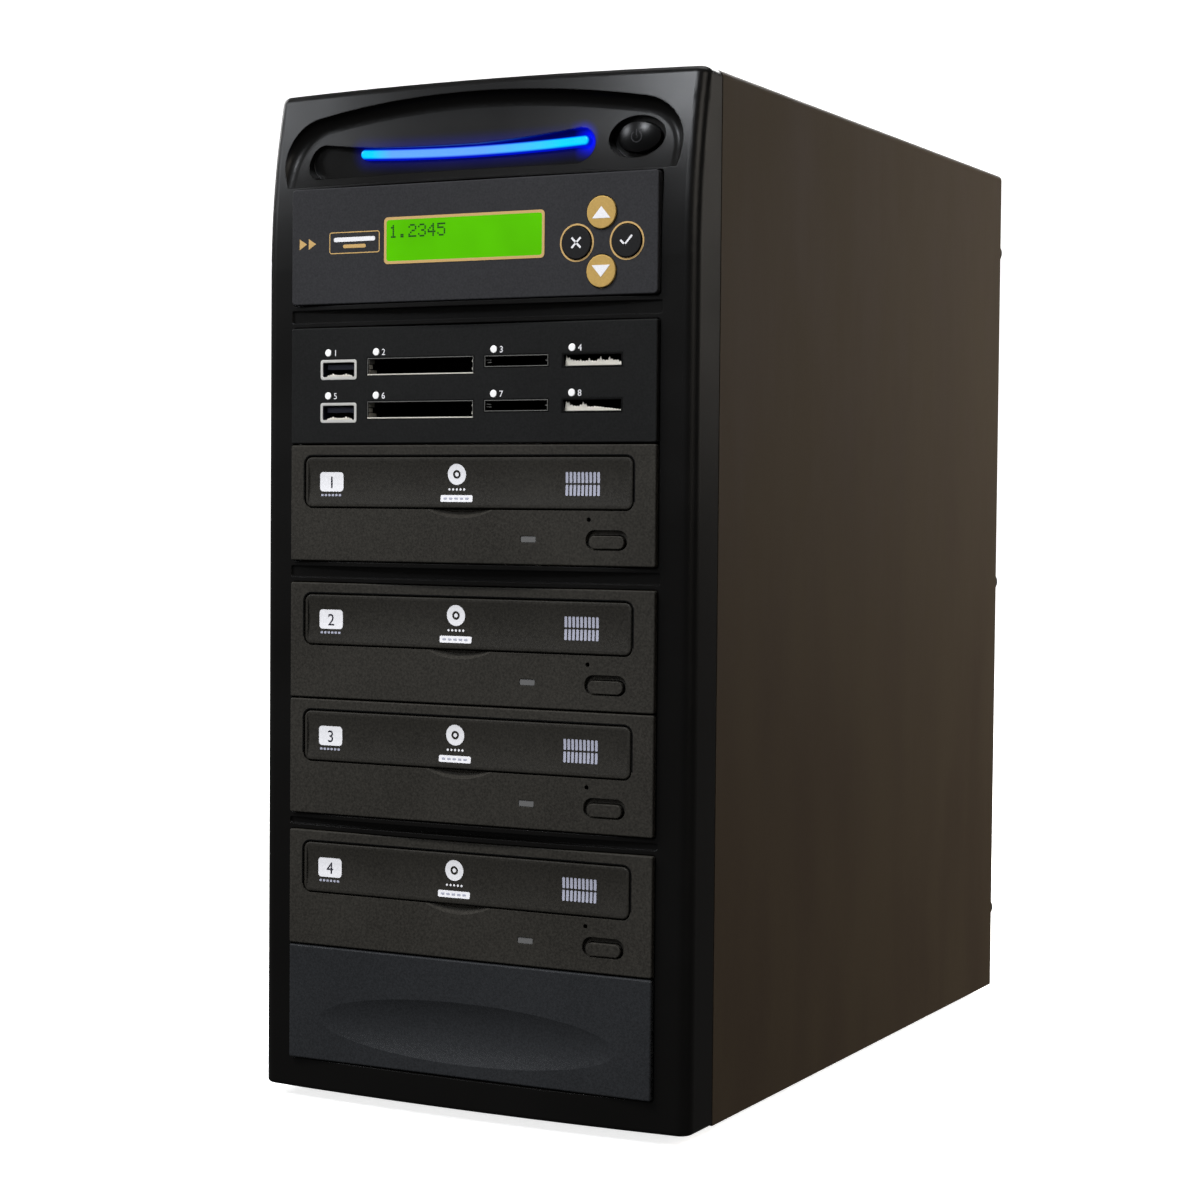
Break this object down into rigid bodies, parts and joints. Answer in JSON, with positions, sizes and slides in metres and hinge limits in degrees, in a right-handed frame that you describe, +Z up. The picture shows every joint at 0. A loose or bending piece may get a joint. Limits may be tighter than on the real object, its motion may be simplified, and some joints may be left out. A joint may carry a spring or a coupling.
{
  "type": "disc duplicator tower",
  "caption": "Free-standing tower that copies optical discs: steel case, bowed plastic front with a lit display and keys, card reader, tray drives, blank bay, power supply and fan behind.",
  "frame": {"origin": "middle of the footprint, on the plane that the feet stand on", "axes": "+Z up, the front faces -Y, +X to the right seen from the front"},
  "size_m": [0.174, 0.3316, 0.3685],
  "materials": {
    "drive_steel": "zinc-plated folded sheet, satin",
    "chassis_steel": "zinc-plated folded sheet, satin",
    "supply_steel": "plated sheet, satin",
    "screw_steel": "plated screws",
    "screw_black": "black knurled thumbscrews",
    "cover_paint": "dark textured paint, satin",
    "bezel_black": "moulded plastic, semi-gloss black",
    "drive_face_black": "fine-textured moulded plastic",
    "panel_charcoal": "charcoal plate, satin",
    "reader_black": "moulded plastic, satin black",
    "blank_black": "moulded plastic, satin black",
    "tray_black": "moulded plastic, satin black",
    "mechanism_black": "moulded plastic and small metal pieces",
    "light_bar_blue": "clear blue light guide, lit",
    "power_button_black": "moulded plastic, glossy black",
    "display_green": "lit display behind a clear window",
    "key_black": "soft-touch keys, satin black",
    "board_green": "lacquered circuit board",
    "socket_metal": "bright plated sheet",
    "lamp_amber": "clear lamp lenses",
    "fan_black": "moulded plastic",
    "inlet_black": "moulded plastic, glossy",
    "foot_rubber": "soft rubber",
    "lead_black": "insulated leads and moulded plugs"
  },
  "bodies": {
    "root": {"drive_1_shell": "drive_steel", "drive_1_bezel": "drive_face_black", "drive_2_shell": "drive_steel", "drive_2_bezel": "drive_face_black", "drive_3_shell": "drive_steel", "drive_3_bezel": "drive_face_black", "drive_4_shell": "drive_steel", "drive_4_bezel": "drive_face_black", "drive_mechanisms": "mechanism_black", "indicator_lamps": "lamp_amber", "chassis_base": "chassis_steel", "chassis_rear_panel": "chassis_steel", "drive_cage": "chassis_steel", "outer_cover": "cover_paint", "front_bezel": "bezel_black", "light_bar": "light_bar_blue", "control_panel": "panel_charcoal", "lcd_module": "display_green", "front_boards": "board_green", "card_reader_face": "reader_black", "card_reader_body": "drive_steel", "usb_sockets": "socket_metal", "card_slots": "reader_black", "blank_bay_cover": "blank_black", "psu_case": "supply_steel", "psu_internals": "supply_steel", "psu_inlet": "inlet_black", "rear_fan_frame": "fan_black", "feet": "foot_rubber", "screws": "screw_steel", "cover_thumbscrews": "screw_black", "wiring": "lead_black"},
    "tray_1": {"drive_1_tray": "tray_black", "drive_1_tray_front": "drive_face_black"},
    "tray_2": {"drive_2_tray": "tray_black", "drive_2_tray_front": "drive_face_black"},
    "tray_3": {"drive_3_tray": "tray_black", "drive_3_tray_front": "drive_face_black"},
    "tray_4": {"drive_4_tray": "tray_black", "drive_4_tray_front": "drive_face_black"},
    "eject_1": {"drive_1_eject_button": "drive_face_black"},
    "eject_2": {"drive_2_eject_button": "drive_face_black"},
    "eject_3": {"drive_3_eject_button": "drive_face_black"},
    "eject_4": {"drive_4_eject_button": "drive_face_black"},
    "turntable_1": {"drive_1_turntable": "mechanism_black"},
    "turntable_2": {"drive_2_turntable": "mechanism_black"},
    "turntable_3": {"drive_3_turntable": "mechanism_black"},
    "turntable_4": {"drive_4_turntable": "mechanism_black"},
    "pickup_1": {"drive_1_pickup": "mechanism_black"},
    "pickup_2": {"drive_2_pickup": "mechanism_black"},
    "pickup_3": {"drive_3_pickup": "mechanism_black"},
    "pickup_4": {"drive_4_pickup": "mechanism_black"},
    "key_up_body": {"key_up": "key_black"},
    "key_down_body": {"key_down": "key_black"},
    "key_cancel_body": {"key_cancel": "key_black"},
    "key_confirm_body": {"key_confirm": "key_black"},
    "power_button_body": {"power_button": "power_button_black"},
    "rocker": {"psu_rocker": "inlet_black"},
    "rear_fan": {"rear_fan_rotor": "fan_black"},
    "psu_fan": {"psu_fan_rotor": "fan_black"}
  },
  "joints": [
    {"name": "tray_1_slide", "type": "slide", "parent": "root", "child": "tray_1", "axis": [0, -1, 0], "range_m": [0, 0.1326]},
    {"name": "tray_2_slide", "type": "slide", "parent": "root", "child": "tray_2", "axis": [0, -1, 0], "range_m": [0, 0.1326]},
    {"name": "tray_3_slide", "type": "slide", "parent": "root", "child": "tray_3", "axis": [0, -1, 0], "range_m": [0, 0.1326]},
    {"name": "tray_4_slide", "type": "slide", "parent": "root", "child": "tray_4", "axis": [0, -1, 0], "range_m": [0, 0.1326]},
    {"name": "eject_1_press", "type": "slide", "parent": "root", "child": "eject_1", "axis": [0, 1, 0], "range_m": [0, 0.001], "stiffness_N_per_m": 500, "springref_m": -0.0015},
    {"name": "eject_2_press", "type": "slide", "parent": "root", "child": "eject_2", "axis": [0, 1, 0], "range_m": [0, 0.001], "stiffness_N_per_m": 500, "springref_m": -0.0015},
    {"name": "eject_3_press", "type": "slide", "parent": "root", "child": "eject_3", "axis": [0, 1, 0], "range_m": [0, 0.001], "stiffness_N_per_m": 500, "springref_m": -0.0015},
    {"name": "eject_4_press", "type": "slide", "parent": "root", "child": "eject_4", "axis": [0, 1, 0], "range_m": [0, 0.001], "stiffness_N_per_m": 500, "springref_m": -0.0015},
    {"name": "turntable_1_spin", "type": "hinge", "parent": "root", "child": "turntable_1", "pos_m": [-0.0012, -0.095, 0.2222], "axis": [0, 0, 1], "continuous": true},
    {"name": "turntable_2_spin", "type": "hinge", "parent": "root", "child": "turntable_2", "pos_m": [-0.0012, -0.095, 0.1724], "axis": [0, 0, 1], "continuous": true},
    {"name": "turntable_3_spin", "type": "hinge", "parent": "root", "child": "turntable_3", "pos_m": [-0.0012, -0.095, 0.13], "axis": [0, 0, 1], "continuous": true},
    {"name": "turntable_4_spin", "type": "hinge", "parent": "root", "child": "turntable_4", "pos_m": [-0.0012, -0.095, 0.0819], "axis": [0, 0, 1], "continuous": true},
    {"name": "pickup_1_slide", "type": "slide", "parent": "root", "child": "pickup_1", "axis": [0, 1, 0], "range_m": [0, 0.034]},
    {"name": "pickup_2_slide", "type": "slide", "parent": "root", "child": "pickup_2", "axis": [0, 1, 0], "range_m": [0, 0.034]},
    {"name": "pickup_3_slide", "type": "slide", "parent": "root", "child": "pickup_3", "axis": [0, 1, 0], "range_m": [0, 0.034]},
    {"name": "pickup_4_slide", "type": "slide", "parent": "root", "child": "pickup_4", "axis": [0, 1, 0], "range_m": [0, 0.034]},
    {"name": "key_up_press", "type": "slide", "parent": "root", "child": "key_up_body", "axis": [0, 1, 0], "range_m": [0, 0.0005], "stiffness_N_per_m": 500, "springref_m": -0.0015},
    {"name": "key_down_press", "type": "slide", "parent": "root", "child": "key_down_body", "axis": [0, 1, 0], "range_m": [0, 0.0005], "stiffness_N_per_m": 500, "springref_m": -0.0015},
    {"name": "key_cancel_press", "type": "slide", "parent": "root", "child": "key_cancel_body", "axis": [0, 1, 0], "range_m": [0, 0.0005], "stiffness_N_per_m": 500, "springref_m": -0.0015},
    {"name": "key_confirm_press", "type": "slide", "parent": "root", "child": "key_confirm_body", "axis": [0, 1, 0], "range_m": [0, 0.0005], "stiffness_N_per_m": 500, "springref_m": -0.0015},
    {"name": "power_button_press", "type": "slide", "parent": "root", "child": "power_button_body", "axis": [0, 1, 0], "range_m": [0, 0.0012], "stiffness_N_per_m": 500, "springref_m": -0.0015},
    {"name": "rocker_tilt", "type": "hinge", "parent": "root", "child": "rocker", "pos_m": [0.049, 0.1568, 0.066], "axis": [1, 0, 0], "range_deg": [-16, 0]},
    {"name": "rear_fan_spin", "type": "hinge", "parent": "root", "child": "rear_fan", "pos_m": [0, 0.1583, 0.25186], "axis": [0, 1, 0], "continuous": true},
    {"name": "psu_fan_spin", "type": "hinge", "parent": "root", "child": "psu_fan", "pos_m": [-0.032, 0.1583, 0.049], "axis": [0, 1, 0], "continuous": true}
  ]
}
